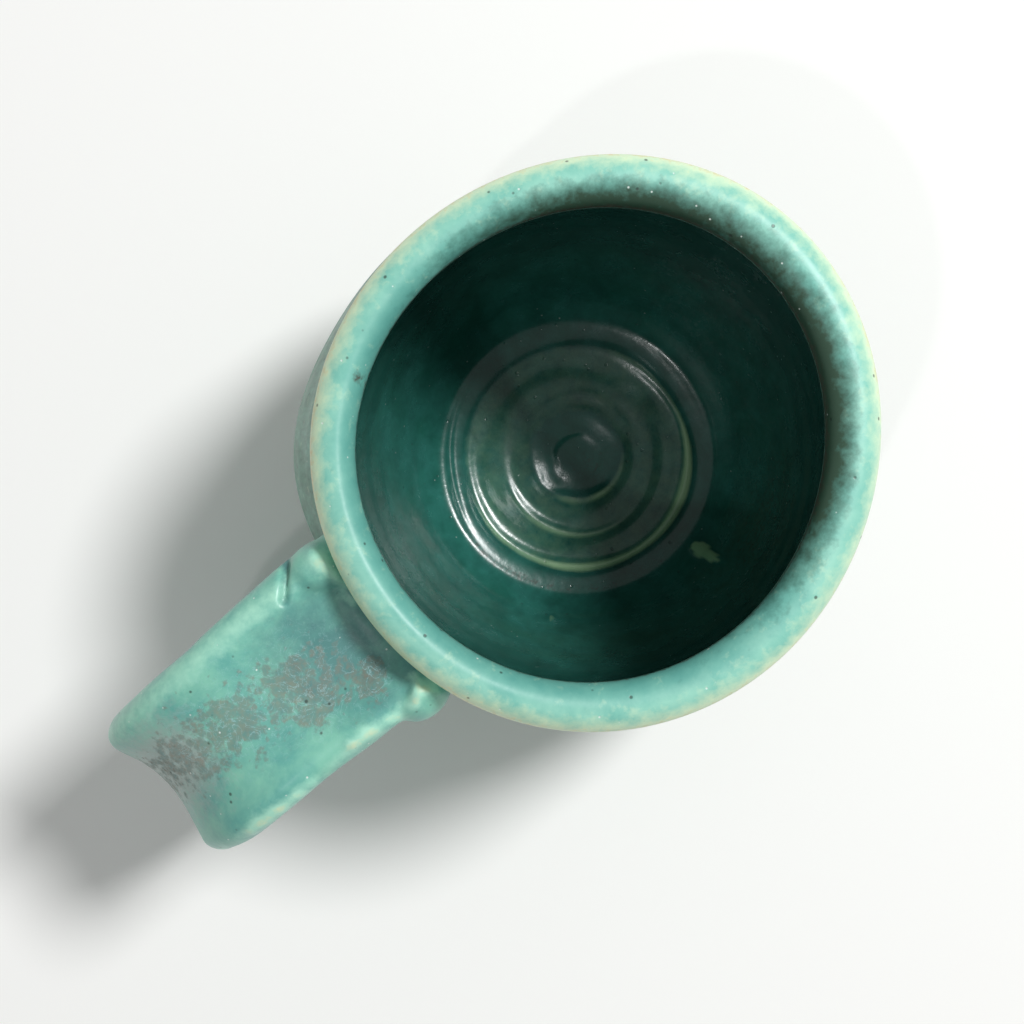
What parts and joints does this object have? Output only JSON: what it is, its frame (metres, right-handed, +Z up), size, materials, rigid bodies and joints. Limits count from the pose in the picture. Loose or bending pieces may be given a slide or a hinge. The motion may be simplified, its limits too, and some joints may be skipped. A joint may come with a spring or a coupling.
{
  "type": "ceramic mug",
  "caption": "Hand-thrown stoneware mug with a rounded belly, a thick round lip, a trimmed foot ring and a wide strap handle hollowed along its back, for holding a hot drink.",
  "frame": {"origin": "centre of the ring that the foot stands on, on the cup's axis, at the table", "axes": "+Z up along the cup's axis, +X towards the middle of the handle, +Y to the left seen from behind the handle"},
  "size_m": [0.1345, 0.091, 0.095],
  "materials": {
    "stoneware": "matte",
    "slip": "matte",
    "liner_glaze": "gloss",
    "outer_glaze": "satin gloss",
    "handle_glaze": "satin"
  },
  "bodies": {
    "root": {"thrown_cup": "stoneware", "strap_handle": "stoneware", "upper_joint_coil": "stoneware", "lower_joint_coil": "stoneware", "upper_slip": "slip", "lower_slip": "slip", "liner_glaze": "liner_glaze", "outer_glaze": "outer_glaze", "handle_glaze": "handle_glaze"}
  },
  "joints": []
}
